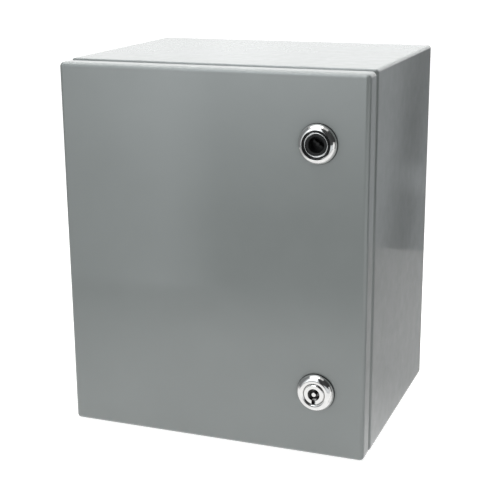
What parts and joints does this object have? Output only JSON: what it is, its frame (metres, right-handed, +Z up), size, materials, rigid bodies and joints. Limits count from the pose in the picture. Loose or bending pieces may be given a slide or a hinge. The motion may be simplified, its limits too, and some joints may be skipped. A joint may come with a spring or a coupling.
{
  "type": "switchboard cabinet",
  "caption": "Small grey sheet-steel wall cabinet for switchgear: full-front door on concealed left hinges, bright quarter-turn locks, mounting plate and gland plate inside.",
  "frame": {"origin": "on the floor, under the middle of the cabinet's bounding box", "axes": "+X to the right seen from the front, +Y from the door to the back wall, +Z up"},
  "size_m": [0.25, 0.206, 0.3],
  "materials": {
    "grey_paint": "glossy grey powder coat with fine orange peel",
    "galvanised_sheet": "galvanised sheet with faint spangle",
    "zinc_plate": "clear zinc plate",
    "chrome": "polished chrome plate",
    "brass": "turned brass",
    "black_plastic": "moulded, satin",
    "black_rubber": "matt",
    "black_foam": "foamed in place, matt"
  },
  "bodies": {
    "cabinet": {"body_earth_nut": "brass", "body_earth_stud": "brass", "body_earth_washer": "brass", "enclosure_body": "grey_paint", "gland_plate": "galvanised_sheet", "gland_plate_gasket": "black_foam", "gland_plate_screw_back_left": "zinc_plate", "gland_plate_screw_back_right": "zinc_plate", "gland_plate_screw_front_left": "zinc_plate", "gland_plate_screw_front_right": "zinc_plate", "lower_hinge_bracket": "grey_paint", "lower_hinge_pin": "zinc_plate", "mounting_plate": "galvanised_sheet", "mounting_plate_nut_lower_left": "zinc_plate", "mounting_plate_nut_lower_right": "zinc_plate", "mounting_plate_nut_upper_left": "zinc_plate", "mounting_plate_nut_upper_right": "zinc_plate", "mounting_plate_stud_lower_left": "zinc_plate", "mounting_plate_stud_lower_right": "zinc_plate", "mounting_plate_stud_upper_left": "zinc_plate", "mounting_plate_stud_upper_right": "zinc_plate", "upper_hinge_bracket": "grey_paint", "upper_hinge_pin": "zinc_plate", "wall_hole_plug_lower_left": "black_plastic", "wall_hole_plug_lower_right": "black_plastic", "wall_hole_plug_upper_left": "black_plastic", "wall_hole_plug_upper_right": "black_plastic"},
    "door": {"door_earth_nut": "brass", "door_earth_stud": "brass", "door_earth_washer": "brass", "door_gasket": "black_foam", "door_panel": "grey_paint", "lower_hinge_leaf": "zinc_plate", "lower_hinge_nut_bottom": "zinc_plate", "lower_hinge_nut_top": "zinc_plate", "lower_hinge_stud_bottom": "zinc_plate", "lower_hinge_stud_top": "zinc_plate", "lower_lock_housing": "chrome", "lower_lock_nut": "zinc_plate", "lower_lock_seal": "black_rubber", "upper_hinge_leaf": "zinc_plate", "upper_hinge_nut_bottom": "zinc_plate", "upper_hinge_nut_top": "zinc_plate", "upper_hinge_stud_bottom": "zinc_plate", "upper_hinge_stud_top": "zinc_plate", "upper_lock_housing": "chrome", "upper_lock_nut": "zinc_plate", "upper_lock_seal": "black_rubber", "upper_lock_sleeve": "black_plastic"},
    "upper_lock": {"upper_lock_barrel": "chrome", "upper_lock_cam": "zinc_plate", "upper_lock_cam_screw": "zinc_plate", "upper_lock_insert": "black_plastic"},
    "lower_lock": {"lower_lock_barrel": "chrome", "lower_lock_cam": "zinc_plate", "lower_lock_cam_screw": "zinc_plate"}
  },
  "joints": [
    {"name": "door_hinge", "type": "hinge", "parent": "cabinet", "child": "door", "pos_m": [-0.118, -0.09, 0.15], "axis": [0, 0, -1], "range_deg": [0, 120]},
    {"name": "upper_lock_turn", "type": "hinge", "parent": "door", "child": "upper_lock", "pos_m": [0.0865, -0.097, 0.247], "axis": [0, -1, 0], "range_deg": [0, 90]},
    {"name": "lower_lock_turn", "type": "hinge", "parent": "door", "child": "lower_lock", "pos_m": [0.0865, -0.097, 0.053], "axis": [0, -1, 0], "range_deg": [0, 90]}
  ]
}
